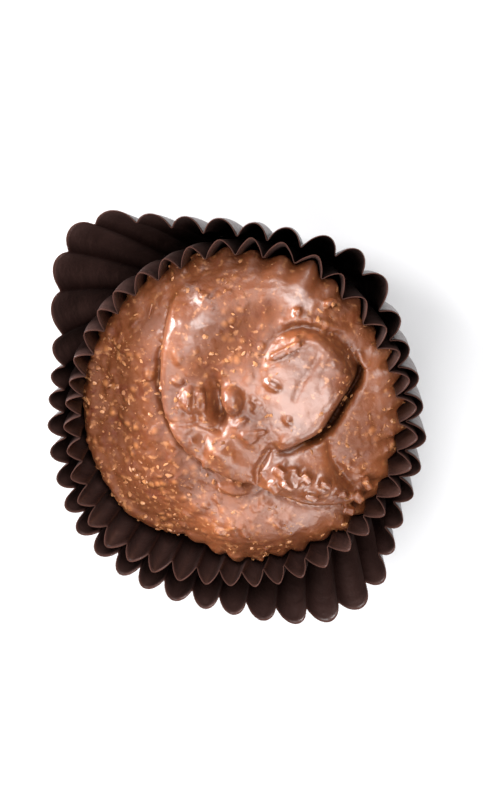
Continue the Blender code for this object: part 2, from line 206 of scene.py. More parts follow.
def cup_tree():
    """Presses a flat grid of paper into a pleated cup."""
    corners = {}
    for number in range(1, CUP_CORNERS + 1):
        for part in ("direction", "reach", "width"):
            corners[f"corner_{number}_{part}"] = "Float"
    tree, _, end, given = new_tree(
        "pleated_cup",
        base_radius="Float",
        seat_height="Float",
        rim_radius="Float",
        rim_oval="Float",
        swell="Float",
        straightened="Float",
        lobes="Float",
        flat_direction="Float",
        flat_width="Float",
        flat_depth="Float",
        seed="Float",
        paper="Material",
        **corners,
    )
    grid = tree.nodes.new("GeometryNodeMeshGrid")
    grid.inputs["Size X"].default_value = 1.0
    grid.inputs["Size Y"].default_value = 1.0
    grid.inputs["Vertices X"].default_value = CUP_FLUTES * CUP_SIDES_PER_FLUTE + 1
    grid.inputs["Vertices Y"].default_value = CUP_ROWS + 1
    place = tree.nodes.new("GeometryNodeInputPosition")
    split = tree.nodes.new("ShaderNodeSeparateXYZ")
    tree.links.new(place.outputs[0], split.inputs[0])
    turn = Field(tree, split.outputs["X"]) + 0.5
    row = Field(tree, split.outputs["Y"]) + 0.5
    angle = turn * math.tau
    degrees = turn * 360.0
    on_base = (row / CUP_BASE_ROWS_SHARE).math("MINIMUM", 1.0)
    share = (row - CUP_BASE_ROWS_SHARE).math("MAXIMUM", 0.0) / (1.0 - CUP_BASE_ROWS_SHARE)

    # Pleats of unequal width, depth and height, and a wall that wanders.
    circle = joined(tree, angle.cos(), angle.sin(), 0.0)
    own_circle = joined(tree, angle.cos(), angle.sin(), given["seed"])
    bunched = (angle - math.radians(CUP_BUNCHED)).sin() * CUP_BUNCHING
    jostle = ripple(tree, circle, CUP_WIDTH_SCALE) * CUP_WIDTH_STRAY + bunched
    stray = ripple(tree, own_circle, CUP_WALL_SCALE) * share
    each = ripple(tree, own_circle, CUP_PLEAT_SCALE)

    push = degrees * 0.0
    for number in range(1, CUP_CORNERS + 1):
        centre = given[f"corner_{number}_direction"]
        half_width = given[f"corner_{number}_width"]
        push = push + degrees.bulge(centre, half_width) * given[f"corner_{number}_reach"]
    rim = given["rim_radius"] - (angle * 2.0).cos() * given["rim_oval"] + push
    lean = rim - CUP_FLUTE_AT_RIM - given["base_radius"]
    rise = (lean * lean * -1.0 + CUP_WALL_SLANT**2).sqrt()
    fullness = ((share**CUP_SWELL_RISE) * math.pi).sin()
    swell = given["swell"] - given["straightened"] * push
    middle = given["base_radius"] + lean * share + fullness * swell
    middle = middle - CUP_PAPER + stray * CUP_WALL_STRAY

    flute = share * (CUP_FLUTE_AT_RIM - CUP_FLUTE_AT_BASE) + CUP_FLUTE_AT_BASE
    flattened = degrees.bulge(given["flat_direction"], given["flat_width"])
    flute = flute - flattened * given["flat_depth"] * share
    flute = flute * (each * share * CUP_DEPTH_STRAY + 1.0) * on_base**CUP_BASE_FLATNESS
    turns = turn * CUP_FLUTES + jostle

    # Even waves, or round lobes between narrow creases, as the cup asks.
    swing = ((turns * math.pi).cos() ** 2.0 + CUP_CREASE_ROUNDING).sqrt()
    least = math.sqrt(CUP_CREASE_ROUNDING)
    most = math.sqrt(1.0 + CUP_CREASE_ROUNDING)
    lobed = (swing - least) * (2.0 / (most - least)) - 1.0
    phase = turns * math.tau
    even = phase.cos() * (1.0 + CUP_ZIGZAG) + (phase * 3.0).cos() * CUP_ZIGZAG
    even = even / (1.0 + 2.0 * CUP_ZIGZAG)
    wave = even + (lobed - even) * given["lobes"]
    radius = middle - given["base_radius"] * (on_base * -1.0 + 1.0) + flute * wave
    sideways = phase.sin() * share * (CUP_PINCH * math.tau / CUP_FLUTES)
    bearing = angle + sideways
    height = rise * share * (each * CUP_HEIGHT_STRAY + 1.0) + given["seat_height"] + CUP_PAPER * 0.5

    # The marks are stored on the flat grid, because pressing it moves the places they are read from.
    flat = grid.outputs["Mesh"]
    # The place in the pleat is also the mask for the paper's painted shade in the creases.
    for name, value in (("up_the_wall", share), ("in_the_lobe", wave * 0.5 + 0.5)):
        marked = chain(tree, flat, "GeometryNodeStoreNamedAttribute", data_type="FLOAT")
        marked.inputs["Name"].default_value = name
        tree.links.new(value.socket, marked.inputs["Value"])
        flat = marked.outputs[0]
    shape = chain(tree, flat, "GeometryNodeSetPosition")
    pressed = joined(tree, radius * bearing.cos(), radius * bearing.sin(), height)
    tree.links.new(pressed, shape.inputs["Position"])
    closed = chain(tree, shape.outputs[0], "GeometryNodeMergeByDistance")
    closed.inputs["Distance"].default_value = CUP_WELD
    smooth = chain(tree, closed.outputs[0], "GeometryNodeSetShadeSmooth")
    coated = chain(tree, smooth.outputs[0], "GeometryNodeSetMaterial")
    tree.links.new(given["paper"].socket, coated.inputs["Material"])
    tree.links.new(coated.outputs[0], end.inputs[0])
    return tree


class Paint:
    """A material in the making, with the few nodes that its pattern is made of."""

    def __init__(self, name):
        self.material = bpy.data.materials.new(name)
        self.material.use_nodes = True
        self.nodes = self.material.node_tree.nodes
        self.links = self.material.node_tree.links
        self.shader = self.nodes["Principled BSDF"]

    def texture(self, kind, scale):
        """A texture node that reads the place on the piece."""
        place = self.nodes.get("Texture Coordinate") or self.nodes.new("ShaderNodeTexCoord")
        node = self.nodes.new(kind)
        node.inputs["Scale"].default_value = scale
        self.links.new(place.outputs["Object"], node.inputs["Vector"])
        return node

    def cloud(self, scale, detail):
        """Soft noise, mostly between 0.3 and 0.7."""
        node = self.texture("ShaderNodeTexNoise", scale)
        node.inputs["Detail"].default_value = detail
        return node.outputs[0]

    def marked(self, name):
        """What the mesh stores under a name."""
        node = self.nodes.new("ShaderNodeAttribute")
        node.attribute_name = name
        return node.outputs["Fac"]

    def band(self, value, low, high, start, stop):
        """Goes from start to stop while the value goes from low to high."""
        node = self.nodes.new("ShaderNodeMapRange")
        node.inputs["From Min"].default_value = low
        node.inputs["From Max"].default_value = high
        node.inputs["To Min"].default_value = start
        node.inputs["To Max"].default_value = stop
        self.links.new(value, node.inputs["Value"])
        return node.outputs["Result"]

    def times(self, first, second):
        node = self.nodes.new("ShaderNodeMath")
        node.operation = "MULTIPLY"
        self.links.new(first, node.inputs[0])
        self.links.new(second, node.inputs[1])
        return node.outputs[0]

    def blend(self, factor, first, second):
        """Goes from the first colour to the second. Either may be a pattern."""
        node = self.nodes.new("ShaderNodeMix")
        node.data_type = "RGBA"
        self.links.new(factor, node.inputs["Factor"])
        for socket, colour in ((node.inputs["A"], first), (node.inputs["B"], second)):
            if isinstance(colour, tuple):
                socket.default_value = colour
            else:
                self.links.new(colour, socket)
        return node.outputs["Result"]

    def bump(self, height, depth, strength, under=None):
        """A surface that rises by up to the depth, over another such surface if one is given."""
        node = self.nodes.new("ShaderNodeBump")
        node.inputs["Distance"].default_value = depth
        if isinstance(strength, float):
            node.inputs["Strength"].default_value = strength
        else:
            self.links.new(strength, node.inputs["Strength"])
        self.links.new(height, node.inputs["Height"])
        if under:
            self.links.new(under, node.inputs["Normal"])
        return node.outputs[0]

    def drive(self, label, value):
        """Links a pattern to the shader."""
        self.links.new(value, self.shader.inputs[label])


def cup_paper():
    """Dark-brown glassine: glossy, a little crinkled, with a dull cut edge that is painted lighter as a
    highlight.

    The dark between the pleats is painted, as little light gets there.
    """
    paint = Paint("brown_glassine")
    paint.shader.inputs["IOR"].default_value = 1.58
    paint.shader.inputs["Roughness"].default_value = 0.4
    height = paint.marked("up_the_wall")
    opening = paint.band(paint.marked("in_the_lobe"), 0.0, 0.75, 0.15, 1.0)
    brown = paint.blend(paint.cloud(300.0, 3.0), PAPER_DARK, PAPER_LIGHT)
    # Painted shade: the creases between the pleats are darkened.
    brown = paint.blend(opening, PAPER_CREASE_SHADE, brown)
    # Painted highlight: the cut rim is lightened.
    painted_rim_highlight = paint.band(height, 0.985, 1.0, 0.0, 0.15)
    paint.drive("Base Color", paint.blend(painted_rim_highlight, brown, PAPER_RIM_HIGHLIGHT))
    glossy = paint.band(height, 0.96, 0.995, 1.0, 0.0)
    paint.drive("Specular IOR Level", paint.times(glossy, opening))
    fibres = paint.bump(paint.cloud(2600.0, 2.0), 0.03 * MM, 0.25)
    paint.drive("Normal", paint.bump(paint.cloud(420.0, 3.0), 0.5 * MM, 0.7, under=fibres))
    return paint.material


def make_cup(name, node, tree, paper, corners, **sizes):
    cup = new_piece(name)
    filled = list(corners) + [(0.0, 0.0, 20.0)] * (CUP_CORNERS - len(corners))
    for number, (direction, reach, width) in enumerate(filled, start=1):
        sizes[f"corner_{number}_direction"] = direction
        sizes[f"corner_{number}_reach"] = reach
        sizes[f"corner_{number}_width"] = width
    grow(cup, tree, paper=paper, **sizes)
    sheet = cup.modifiers.new("thickness", "SOLIDIFY")
    sheet.thickness = CUP_PAPER
    sheet.offset = 0.0
    settle(cup)
    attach(cup, "root")
    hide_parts(node)
    return cup


pressing = cup_tree()
brown_paper = cup_paper()
make_cup(
    "outer_paper_cup",
    "cup_outer",
    pressing,
    brown_paper,
    corners=(
        (0.0, 1.0 * MM, 35.0),
        (50.0, 2.2 * MM, 18.0),
        (129.0, 5.9 * MM, 20.0),
        (-60.0, 4.2 * MM, 20.0),
        (-143.0, 1.0 * MM, 24.0),
    ),
    base_radius=15.6 * MM,
    seat_height=0.0,
    rim_radius=21.3 * MM,
    rim_oval=1.2 * MM,
    swell=0.4 * MM,
    straightened=0.0,
    lobes=0.8,
    flat_direction=138.0,
    flat_width=34.0,
    flat_depth=0.4 * MM,
    seed=1.0,
)
inner_cup = make_cup(
    "inner_paper_cup",
    "cup_inner",
    pressing,
    brown_paper,
    corners=(
        (70.0, 2.3 * MM, 36.0),
        (0.0, 1.3 * MM, 35.0),
        (-136.0, 1.7 * MM, 20.0),
        (172.0, -0.8 * MM, 30.0),
    ),
    base_radius=15.0 * MM,
    seat_height=0.45 * MM,
    rim_radius=19.0 * MM,
    rim_oval=0.0,
    swell=0.8 * MM,
    straightened=0.5,
    lobes=0.0,
    flat_direction=-150.0,
    flat_width=50.0,
    flat_depth=0.1 * MM,
    seed=2.0,
)


# ---------------------------------------------------------------------------------------------
# The chocolate
# Milk chocolate stirred full of finely chopped nuts, deposited warm in the inner cup, where its
# side set against the pleats. The end of the pour fell over itself: a thick fold with a sharp
# step runs round the top, and a broad tongue lies over it on the right.

BODY_SIDES = 12 * CUP_FLUTES
BODY_FLOOR = 0.9 * MM
BODY_EDGE = 15.2 * MM
BODY_TOP = 19.6 * MM
BODY_CLEARANCE = 0.1 * MM
BODY_SIDE_RINGS = 18
BODY_TOP_RINGS = 110
# The power by which the rings on top crowd towards the edge.
BODY_TOP_CROWDING = 1.5
# How much of each pleat the chocolate fills at the floor and at its edge.
BODY_FILL = (0.3, 0.72)
# Waves in how full the pleats are: how many round the edge, where they start, how strong.
BODY_UNEVEN = ((3, 1.0, 0.15), (7, 0.6, 0.25), (16, 2.1, 0.3))
# The share of the way to the middle over which the flutes fade out on top.
BODY_FLUTES_FADE = 0.12
# The dome: how far in from its edge, in mm, and the share of its rise there.
BODY_DOME = ((0.0, 0.0), (0.35, 0.18), (1.2, 0.38), (3.2, 0.64), (6.2, 0.85), (10.8, 0.97), (18.0, 1.0))
# A dent in the edge: direction and half width in degrees, depth in mm.
BODY_DENT = (-112.0, 12.0, 1.2)
# The side where the chocolate stands higher in the cup: direction and half width, how much, in mm.
BODY_FULL_SIDE = (35.0, 60.0, 0.8)
# The side where the chocolate bridged the pleats: direction and half width, share of flutes lost.
BODY_SMOOTH_SIDE = (-150.0, 75.0, 0.85)
# The lower edge is rounded in by this much, over one of so many parts of the side.
BODY_FOOT = 0.5 * MM
BODY_FOOT_PARTS = 12.0
# The dent in the edge comes in over the uppermost of so many parts of the side.
BODY_DENT_PARTS = 3.0
# The forms on top come in over this many mm from the edge.
TOP_EASE = 1.6
# Into how many steps the smooth curves are cut: the dome, and each stretch between two points.
DOME_STEPS = 120
LAYER_STEPS = 5
GROOVE_STEPS = 6

# Layers of the pour. Height in mm at a place, its rise per mm along x and y, and the outline:
# x, y, how far in the layer's edge is rounded there and how deep a crease runs along it, in mm.
FOLD = (
    (2.2, (-4.0, 3.0), (-0.09, -0.03)),
    (
        (-5.3, 14.7, 3.5, 0.0), (-6.5, 12.6, 1.6, 0.1), (-7.1, 9.9, 1.0, 0.4), (-7.5, 6.5, 0.8, 0.8),
        (-7.6, 3.8, 0.7, 1.0), (-7.0, 1.1, 0.6, 1.1), (-5.7, -1.6, 0.6, 1.1), (-4.0, -3.5, 0.6, 0.8),
        (-1.9, -5.2, 0.6, 0.7), (-0.2, -6.1, 0.5, 0.7), (1.8, -6.5, 0.5, 0.6), (3.5, -7.2, 0.5, 0.6),
        (5.9, -8.4, 0.5, 0.5), (8.2, -9.4, 0.5, 0.4), (11.3, -9.6, 0.5, 0.4), (13.3, -9.2, 0.8, 0.4),
        (12.3, -7.0, 0.8, 0.6), (11.1, -5.0, 0.9, 0.5), (10.6, -3.0, 1.2, 0.0), (10.6, -0.6, 1.2, 0.0),
        (12.0, 1.8, 1.2, 0.0), (13.7, 4.5, 1.2, 0.0), (13.0, 7.2, 1.4, 0.0), (11.8, 9.6, 2.0, 0.0),
        (12.7, 12.0, 3.5, 0.0), (10.3, 15.7, 4.5, 0.0), (5.2, 17.9, 4.5, 0.0), (0.1, 17.7, 4.5, 0.0),
        (-3.3, 16.7, 4.0, 0.0),
    ),
)
TONGUE = (
    (1.35, (8.7, 4.0), (0.25, 0.02)),
    (
        (3.7, 6.7, 1.0, 0.0), (4.6, 9.2, 1.0, 0.2), (7.1, 10.7, 0.8, 0.7), (9.8, 10.3, 0.8, 0.6),
        (11.8, 9.0, 1.3, 0.5), (13.2, 7.0, 1.6, 1.0), (13.5, 5.0, 1.7, 3.2), (11.8, 2.0, 1.7, 4.4),
        (10.1, -0.7, 1.9, 3.8), (7.8, -1.9, 1.6, 1.4), (5.8, -2.6, 0.7, 0.7), (4.7, -1.4, 1.0, 0.0),
        (3.4, 1.3, 1.0, 0.0), (2.7, 4.3, 1.0, 0.0),
    ),
)
# How far a crease reaches outwards and inwards from a layer's edge, in mm.
CREASE_REACH = 0.55
CREASE_REACH_INSIDE = 0.2
# A crease this deep, in mm, gets the full painted shade.
CREASE_DARK = 1.8
# A layer's edge is a round step up to the first width, in mm, and a soft slope from the second.
SHARP_EDGE = 2.0
SOFT_EDGE = 3.4

# Mounds: x, y, two half sizes, turn in degrees, height, all in mm. Nothing of them has an edge.
MOUNDS = (
    (3.0, 4.0, 7.0, 6.0, 0.0, 0.8),
    (-13.0, 0.0, 3.2, 9.0, 10.0, -1.2),
    (-8.0, -12.5, 5.0, 2.4, -32.0, -0.9),
    (1.5, -12.6, 7.5, 2.4, 0.0, 0.7),
    (-1.5, 3.4, 3.8, 2.6, 0.0, -0.9),
    (-1.3, 2.9, 0.7, 2.3, 5.0, -2.3),
    (-0.9, 1.2, 0.6, 0.9, 0.0, -1.6),
    (-4.6, -0.9, 2.0, 1.3, -50.0, 0.7),
    (-1.0, -2.2, 1.5, 1.3, 0.0, 1.2),
    (0.3, -3.9, 1.8, 1.2, -20.0, 0.6),
    (2.4, -0.5, 2.0, 1.3, -25.0, 0.9),
    (5.9, -5.5, 2.0, 1.6, -20.0, 1.4),
    (9.4, -6.9, 2.4, 1.5, -25.0, 1.1),
    (8.6, 13.2, 4.0, 1.8, -25.0, 0.5),
    (-3.8, 10.8, 2.6, 3.8, 15.0, 0.6),
    (1.0, 10.0, 4.6, 1.7, 35.0, -0.8),
    (-9.1, -2.3, 1.0, 1.0, 0.0, 0.5),
    (-9.1, -4.7, 1.1, 0.9, 0.0, 0.5),
    (-6.0, -7.2, 1.0, 1.0, 0.0, 0.5),
    (-7.9, -6.5, 1.1, 0.9, 0.0, 0.45),
    (-4.0, -10.1, 1.4, 0.8, 50.0, 0.45),
    (-12.2, -6.8, 1.0, 0.8, 0.0, 0.25),
)
# Rounded knobs with a foot, given in the same way.
KNOBS = (
    (0.6, 3.3, 1.3, 1.6, 10.0, 2.3),
    (-3.7, 3.2, 1.45, 1.6, 0.0, 1.6),
    (13.9, 6.8, 0.55, 1.1, 15.0, 0.5),
    (0.2, -7.7, 1.8, 0.75, -3.0, 0.75),
    (5.0, 5.1, 0.95, 0.55, -25.0, 0.6),
)
# Grooves, or ridges where the depth is below zero: depth and half width, then points, in mm.
GROOVES = (
    (0.8, 0.35, (4.3, -2.6), (3.7, -3.6), (3.1, -4.6), (3.0, -6.0)),
    (-0.5, 0.45, (6.2, 11.6), (8.0, 12.0), (10.0, 11.4), (12.4, 10.2)),
    (0.35, 0.35, (-2.6, -0.9), (-2.5, -1.9), (-2.7, -3.0)),
    (0.5, 0.22, (-6.3, 0.6), (-4.6, 0.5), (-3.2, 0.6), (-2.2, 0.1), (-0.6, -0.3)),
    (0.7, 0.22, (-3.4, 4.5), (-3.5, 2.6), (-3.3, 0.9)),
    (0.35, 0.2, (-4.5, 3.9), (-4.6, 2.6), (-4.4, 1.6)),
    (0.35, 0.2, (-1.7, -8.1), (-0.2, -8.6), (1.7, -8.4), (3.1, -7.8)),
    (-0.25, 0.3, (-8.3, 1.1), (-9.1, -0.1), (-9.4, -1.5)),
    (-0.35, 0.5, (-6.2, 16.0), (-4.3, 15.1), (-2.3, 14.2)),
    (0.4, 0.22, (4.5, 8.6), (5.5, 9.7), (7.2, 10.5), (8.8, 10.3)),
    (0.35, 0.2, (4.9, 7.4), (6.5, 8.3), (8.4, 9.3)),
    (0.15, 0.3, (10.0, 8.3), (8.9, 6.6), (7.9, 4.9), (7.4, 3.6)),
    (0.1, 0.3, (11.3, 7.9), (10.4, 6.4), (10.1, 4.6)),
)
# Slivers of nut that lie on top: both ends, x and y, then width and height, in mm.
SLIVERS = (
    ((4.9, 8.1), (8.1, 9.8), 0.75, 0.6),
    ((-2.75, 4.2), (-2.65, 2.1), 0.8, 0.5),
    ((1.7, -0.5), (4.2, -0.1), 0.55, 0.4),
    ((1.0, 0.4), (2.2, 1.3), 0.5, 0.35),
    ((2.2, -1.4), (3.3, -0.7), 0.6, 0.4),
    ((2.9, 2.0), (3.6, 2.9), 0.4, 0.3),
    ((7.2, -4.3), (7.6, -6.2), 0.5, 0.4),
    ((5.2, -4.2), (6.3, -4.9), 0.9, 0.7),
    ((6.0, -5.6), (6.9, -6.5), 0.8, 0.6),
    ((8.0, -5.0), (8.9, -5.9), 0.9, 0.6),
    ((8.2, -7.4), (9.6, -7.9), 0.8, 0.6),
    ((9.8, -6.0), (10.9, -6.6), 0.8, 0.6),
    ((4.5, -5.8), (5.2, -7.1), 0.8, 0.6),
    ((11.6, -7.4), (12.6, -8.0), 0.8, 0.5),
    ((13.2, -8.3), (14.0, -9.2), 0.9, 0.6),
    ((11.9, -10.1), (13.1, -10.5), 0.8, 0.5),
    ((14.3, -6.6), (14.9, -7.7), 0.8, 0.5),
    ((10.4, 13.2), (11.4, 13.5), 0.5, 0.35),
    ((7.2, 12.6), (7.9, 12.9), 0.6, 0.35),
    ((-8.3, 13.0), (-8.8, 11.1), 0.35, 0.25),
)
# How nutty the skin is, and how much painted shade it has: x, y, half width in mm, amount. Nutty
# skin is dull, dark and grainy and has more chips strewn on it. An amount below zero makes it
# smooth and shiny. The amounts also paint shade: they darken the skin where shade falls, most on
# the left side, and the patches below zero keep it lighter where light falls. The lower right
# lobe is kept low as well, because its nuts are large and bright.
NUTS_AND_SHADE_PATCHES = (
    (8.0, -6.3, 3.4, -0.2),
    (13.6, -8.6, 2.4, 0.1),
    (2.6, 0.6, 2.6, 0.25),
    (12.4, 5.4, 1.3, 0.8),
    (1.4, 9.6, 3.2, 0.65),
    (4.8, 12.8, 1.8, 0.5),
    (-2.6, 6.8, 2.2, 0.6),
    (11.5, 12.2, 2.4, 0.5),
    (15.2, 10.5, 2.0, 0.9),
    (-13.0, 2.0, 5.5, 0.7),
    (-16.0, 0.0, 5.0, 0.6),
    (-12.0, 9.0, 4.5, 0.4),
    (-12.0, -9.0, 4.0, 0.4),
    (-8.5, -12.0, 4.0, 0.6),
    (-7.5, -5.6, 4.0, 0.5),
    (0.2, -7.4, 2.5, 0.4),
    (2.0, -14.8, 4.0, 0.4),
    (-1.0, 16.4, 5.0, 0.4),
    (14.5, -1.5, 4.0, 0.5),
    (-3.6, 11.6, 2.6, -0.4),
    (8.0, 4.0, 4.5, -0.35),
    (7.5, 15.2, 3.0, -0.45),
)
NUTS_AND_SHADE_EVERYWHERE = 0.25
NUTS_AND_SHADE_AT_MOST = 1.3
# Chopped nuts lie on faces that look up by at least this much, where 1 is straight up.
NUTS_UPWARD = 0.15
# They lie in patches, by noise of this scale and strength, round this mean, and no less than this.
NUTS_PATCH_SCALE = 300.0
NUTS_PATCH_STRENGTH = 1.6
NUTS_PATCH_MEAN = 0.9
NUTS_PATCH_LEAST = 0.2
# Most chips are small: the power that their draw is raised to. Width and height are shares of
# a chip's length, and its tilt is in radians to either side.
CHIP_SMALLNESS = 2.5
CHIP_WIDTH = (0.35, 0.8)
CHIP_HEIGHT = (0.3, 0.6)
CHIP_TILT = 0.4
# A chip's corners are moved by up to half of this each way, by noise of this scale.
CHIP_BREAKAGE = 0.4 * MM
CHIP_BREAKAGE_SCALE = 1500.0
# Everything is melted into one skin of this fineness.
CHOCOLATE_VOXEL = 0.23 * MM
# Relief of the skin: the scales of its noise, how much of the two finer ones plain chocolate
# shows, and how much more the nutty one does.
SWELL_SCALE = 190.0
GRAIN_SCALE = 560.0
FINE_SCALE = 1500.0
GRAIN_ON_PLAIN = 0.35
GRAIN_MORE_ON_NUTTY = 0.9

CHOCOLATE_DARK = (0.155, 0.040, 0.011, 1.0)
CHOCOLATE_LIGHT = (0.235, 0.067, 0.020, 1.0)
# Nutty chocolate, also the colour of the painted shade where shade falls.
CHOCOLATE_NUTTY_AND_SHADED = (0.125, 0.034, 0.010, 1.0)
# Painted shade in the deepest creases round the layers.
CHOCOLATE_CREASE_SHADE = (0.02, 0.005, 0.002, 1.0)
NUT_MEAL_CREST = (0.50, 0.19, 0.065, 1.0)
NUT_MEAL_GAP = (0.11, 0.022, 0.007, 1.0)
NUT_MEAL_SPECK = (0.55, 0.24, 0.10, 1.0)


def bulge(direction, centre, half_width):
    """1 in the centre direction, falling away on both sides. All in degrees."""
    off = (direction - centre + 180.0) % 360.0 - 180.0
    return np.exp(-((off / half_width) ** 2))


def eased(share):
    """From 0 to 1, with a level start and end."""
    return share**2 * (3.0 - 2.0 * share)


def edge_height(directions):
    """How high the chocolate's edge stands in the cup. In metres."""
    return BODY_EDGE + BODY_FULL_SIDE[2] * MM * bulge(directions, *BODY_FULL_SIDE[:2])


def wall_reach(wall, heights, directions):
    """How far a cup's wall lies from the axis in each direction, at a height for each."""
    reaches = []
    for height, angle in zip(heights, np.radians(directions)):
        hit = wall.ray_cast(Vector((0.0, 0.0, height)), Vector((math.cos(angle), math.sin(angle), 0.0)))
        reaches.append(hit[3])
    return np.array(reaches)


def smooth_path(stops, stations):
    """Evenly spaced readings along a smooth curve through the stops."""
    stops = np.array(stops, dtype=float)
    readings = []
    for place in np.linspace(0.0, len(stops) - 1.0, stations):
        index = min(int(place), len(stops) - 2)
        share = place - index
        a = stops[max(index - 1, 0)]
        b = stops[index]
        c = stops[index + 1]
        d = stops[min(index + 2, len(stops) - 1)]
        bend = (2 * a - 5 * b + 4 * c - d) * share**2 + (3 * b - a - 3 * c + d) * share**3
        readings.append(0.5 * (2 * b + (c - a) * share + bend))
    return np.array(readings)


def from_stretch(x, y, start, stop):
    """The distance to a straight stretch, and the share of the way along it of the nearest place."""
    run_x = stop[0] - start[0]
    run_y = stop[1] - start[1]
    along = ((x - start[0]) * run_x + (y - start[1]) * run_y) / (run_x**2 + run_y**2)
    along = np.clip(along, 0.0, 1.0)
    return np.hypot(x - start[0] - along * run_x, y - start[1] - along * run_y), along


def layer_shape(x, y, layer):
    """How high a layer of the pour lies, rounded off at its outline, and how deep it is creased."""
    (height, (level_x, level_y), (slope_x, slope_y)), outline = layer
    outline = smooth_path(outline + outline[:1], LAYER_STEPS * len(outline) + 1)
    inside = np.zeros(x.shape, dtype=bool)
    rise = np.ones(x.shape)
    outside = np.zeros(x.shape)
    within = np.zeros(x.shape)
    for start, stop in zip(outline[:-1], outline[1:]):
        if start[1] != stop[1]:
            crosses = (start[1] > y) != (stop[1] > y)
            meets = start[0] + (y - start[1]) / (stop[1] - start[1]) * (stop[0] - start[0])
            inside ^= crosses & (x < meets)
        distance, along = from_stretch(x, y, start, stop)
        width = start[2] + (stop[2] - start[2]) * along
        share = np.clip(distance / width, 0.0, 1.0)
        softness = np.clip((width - SHARP_EDGE) / (SOFT_EDGE - SHARP_EDGE), 0.0, 1.0)
        rounded = np.sqrt(1.0 - (1.0 - share) ** 2)
        rise = np.minimum(rise, rounded + (eased(share) - rounded) * softness)
        depth = start[3] + (stop[3] - start[3]) * along
        outside = np.maximum(outside, depth * np.exp(-((distance / CREASE_REACH) ** 2)))
        within = np.maximum(within, depth * np.exp(-distance / CREASE_REACH_INSIDE))
    level = height + (x - level_x) * slope_x + (y - level_y) * slope_y
    return inside * rise * level, np.where(inside, within, outside)


def off_centre(x, y, centre_x, centre_y, half_x, half_y, turn):
    """How far out of an oval each place lies, squared: 1 on its outline."""
    turn = math.radians(turn)
    along = (x - centre_x) * math.cos(turn) + (y - centre_y) * math.sin(turn)
    across = (y - centre_y) * math.cos(turn) - (x - centre_x) * math.sin(turn)
    return (along / half_x) ** 2 + (across / half_y) ** 2


def pour_height(x, y):
    """How far the pour stands above the plain dome. All in mm."""
    height = np.zeros(x.shape)
    for layer in (FOLD, TONGUE):
        lift, crease = layer_shape(x, y, layer)
        height = height + lift - crease
    for *oval, lift in MOUNDS:
        height = height + lift * np.exp(-off_centre(x, y, *oval))
    for *oval, lift in KNOBS:
        height = height + lift * np.sqrt(np.maximum(0.0, 1.0 - off_centre(x, y, *oval)))
    for depth, half_width, *points in GROOVES:
        path = smooth_path(points, GROOVE_STEPS * len(points))
        nearest = np.full(x.shape, np.inf)
        for start, stop in zip(path[:-1], path[1:]):
            nearest = np.minimum(nearest, from_stretch(x, y, start, stop)[0])
        height = height - depth * np.exp(-((nearest / half_width) ** 2))
    return height


DOME_CURVE = smooth_path(BODY_DOME, DOME_STEPS)


def top_height(x, y, inset):
    """The height of the chocolate's upper side, from places and how far in they lie. In mm."""
    edge = edge_height(np.degrees(np.arctan2(y, x))) / MM
    dome = np.interp(inset, DOME_CURVE[:, 0], DOME_CURVE[:, 1]) * (BODY_TOP / MM - edge)
    return edge + dome + pour_height(x, y) * eased(np.clip(inset / TOP_EASE, 0.0, 1.0))


def loft(builder, rings, first_tip, last_tip):
    """One closed skin over rings of points, drawn to a point at both ends."""
    corners = [[builder.verts.new(point) for point in ring] for ring in rings]
    for lower, upper in zip(corners, corners[1:]):
        for index, corner in enumerate(lower):
            following = (index + 1) % len(lower)
            builder.faces.new((corner, lower[following], upper[following], upper[index]))
    for ring, tip in ((corners[0], first_tip), (corners[-1], last_tip)):
        point = builder.verts.new(tip)
        for index, corner in enumerate(ring):
            builder.faces.new((corner, ring[(index + 1) % len(ring)], point))


def add_body(builder):
    """The cast side, which follows the inner cup's pleats, and the poured top."""
    wall = BVHTree.FromObject(inner_cup, bpy.context.evaluated_depsgraph_get())
    directions = np.arange(BODY_SIDES) * 360.0 / BODY_SIDES
    angles = np.radians(directions)
    half_flute = BODY_SIDES // CUP_FLUTES // 2
    smooth = 1.0 - BODY_SMOOTH_SIDE[2] * bulge(directions, *BODY_SMOOTH_SIDE[:2])
    dent = BODY_DENT[2] * MM * bulge(directions, *BODY_DENT[:2])
    for waves, start, share in BODY_UNEVEN:
        smooth = smooth * (1.0 + share * np.sin(waves * angles + start))

    def around(values):
        return [np.roll(values, shift) for shift in range(-half_flute, half_flute + 1)]

    def section(heights, fill, dented):
        """How far the pleats' creases let the chocolate reach, and how far it fills the pleats."""
        reach = wall_reach(wall, heights, directions)
        crease = np.mean(around(np.minimum.reduce(around(reach))), axis=0)
        return crease - BODY_CLEARANCE - dent * dented, (reach - crease) * fill * smooth

    def ring(radius, heights):
        return np.column_stack((radius * np.cos(angles), radius * np.sin(angles), heights))

    rings = []
    for share in np.linspace(0.0, 1.0, BODY_SIDE_RINGS):
        heights = BODY_FLOOR + (edge_height(directions) - BODY_FLOOR) * share
        foot = BODY_FOOT * max(0.0, 1.0 - share * BODY_FOOT_PARTS) ** 2
        fill = BODY_FILL[0] + (BODY_FILL[1] - BODY_FILL[0]) * share
        dented = max(0.0, share * BODY_DENT_PARTS - (BODY_DENT_PARTS - 1.0))
        inner, flutes = section(heights, fill, dented)
        rings.append(ring(inner + flutes - foot, heights))
    for share in np.linspace(0.0, 1.0, BODY_TOP_RINGS)[1:-1] ** BODY_TOP_CROWDING:
        radius = inner * (1.0 - share) + flutes * max(0.0, 1.0 - share / BODY_FLUTES_FADE)
        x = radius * np.cos(angles) / MM
        y = radius * np.sin(angles) / MM
        rings.append(ring(radius, top_height(x, y, inner / MM * share) * MM))
    middle = np.zeros(1)
    summit = top_height(middle, middle, middle + DOME_CURVE[-1, 0])[0] * MM
    loft(builder, rings, (0.0, 0.0, BODY_FLOOR), (0.0, 0.0, summit))


